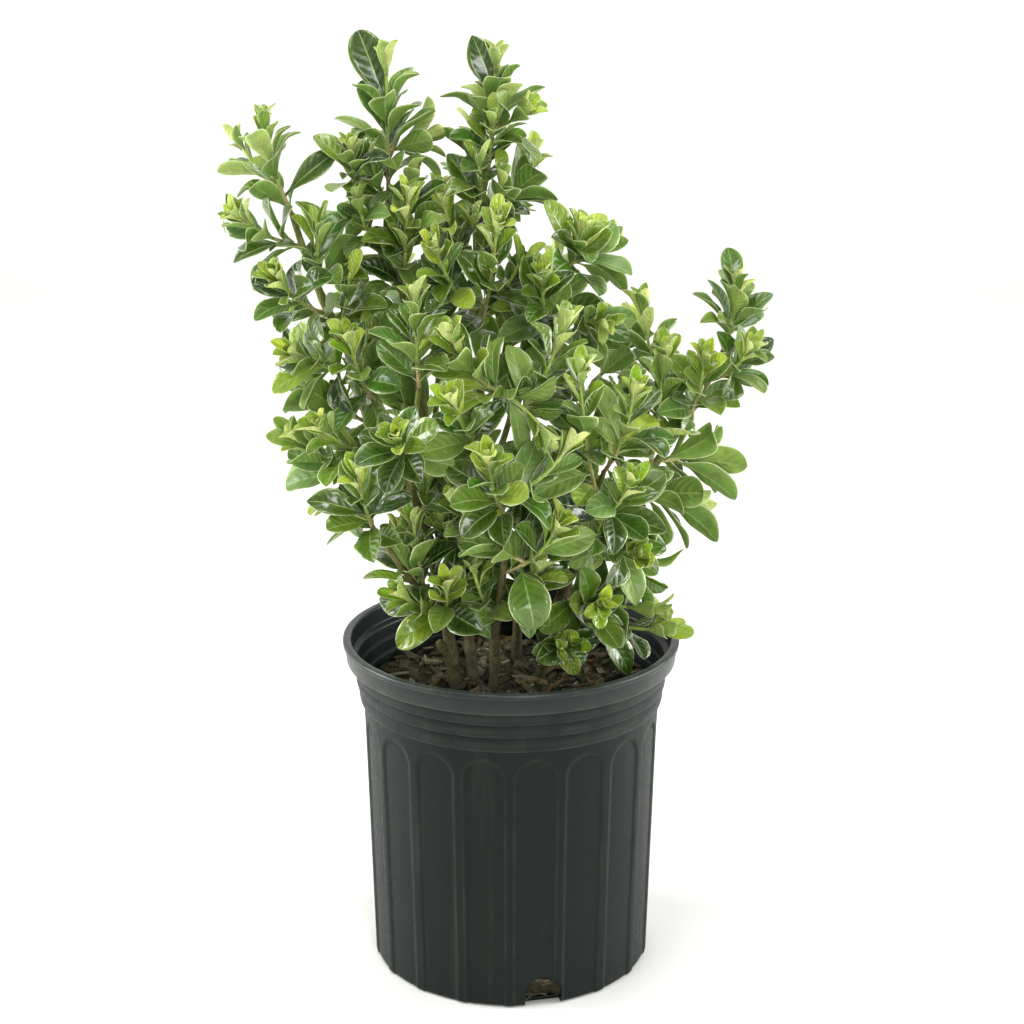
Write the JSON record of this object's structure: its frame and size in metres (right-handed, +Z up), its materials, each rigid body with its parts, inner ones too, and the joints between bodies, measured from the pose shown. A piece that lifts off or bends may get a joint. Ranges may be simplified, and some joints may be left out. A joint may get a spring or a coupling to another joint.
{
  "type": "potted gardenia shrub",
  "caption": "Bushy evergreen gardenia shrub with glossy paired leaves, growing in bark mix in a fluted black nursery pot.",
  "frame": {"origin": "centre of the pot's flat underside, where it stands", "axes": "+Z up along the pot's axis, -Y towards the front of the plant, +X to the right of the front view"},
  "size_m": [0.359, 0.2563, 0.6338],
  "materials": {
    "pot_plastic": "matte recycled black plastic, faintly pebbled",
    "potting_mix": "rough dark bark mix",
    "bark": "thin grey-brown bark",
    "leaf": "glossy green leaf, paler underneath"
  },
  "bodies": {
    "root": {"nursery_pot": "pot_plastic", "potting_mix": "potting_mix", "cane_left": "bark", "cane_tall_left": "bark", "cane_tall_centre": "bark", "cane_back": "bark", "cane_right": "bark", "cane_front": "bark", "leafy_stem_01": "leaf", "leafy_stem_02": "leaf", "leafy_stem_03": "leaf", "leafy_stem_04": "leaf", "leafy_stem_05": "leaf", "leafy_stem_06": "leaf", "leafy_stem_07": "leaf", "leafy_stem_08": "leaf", "leafy_stem_09": "leaf", "leafy_stem_10": "leaf", "leafy_stem_11": "leaf", "leafy_stem_12": "leaf", "leafy_stem_13": "leaf", "leafy_stem_14": "leaf", "leafy_stem_15": "leaf", "leafy_stem_16": "leaf", "leafy_stem_17": "leaf", "leafy_stem_18": "leaf", "leafy_stem_19": "leaf", "leafy_stem_20": "leaf", "leafy_stem_21": "leaf", "leafy_stem_22": "leaf", "leafy_stem_23": "leaf", "leafy_stem_24": "leaf", "leafy_stem_25": "leaf", "leafy_stem_26": "leaf", "leafy_stem_27": "leaf", "leafy_stem_28": "leaf", "leafy_stem_29": "leaf", "leafy_stem_30": "leaf", "leafy_stem_31": "leaf", "leafy_stem_32": "leaf", "leafy_stem_33": "leaf", "leafy_stem_34": "leaf", "leafy_stem_35": "leaf", "leafy_stem_36": "leaf", "leafy_stem_37": "leaf", "leafy_stem_38": "leaf", "leafy_stem_39": "leaf", "leafy_stem_40": "leaf", "leafy_stem_41": "leaf", "leafy_stem_42": "leaf", "leafy_stem_43": "leaf", "leafy_stem_44": "leaf", "leafy_stem_45": "leaf", "leafy_stem_46": "leaf", "leafy_stem_47": "leaf", "leafy_stem_48": "leaf", "leafy_stem_49": "leaf", "leafy_stem_50": "leaf", "leafy_stem_51": "leaf", "leafy_stem_52": "leaf"}
  },
  "joints": []
}
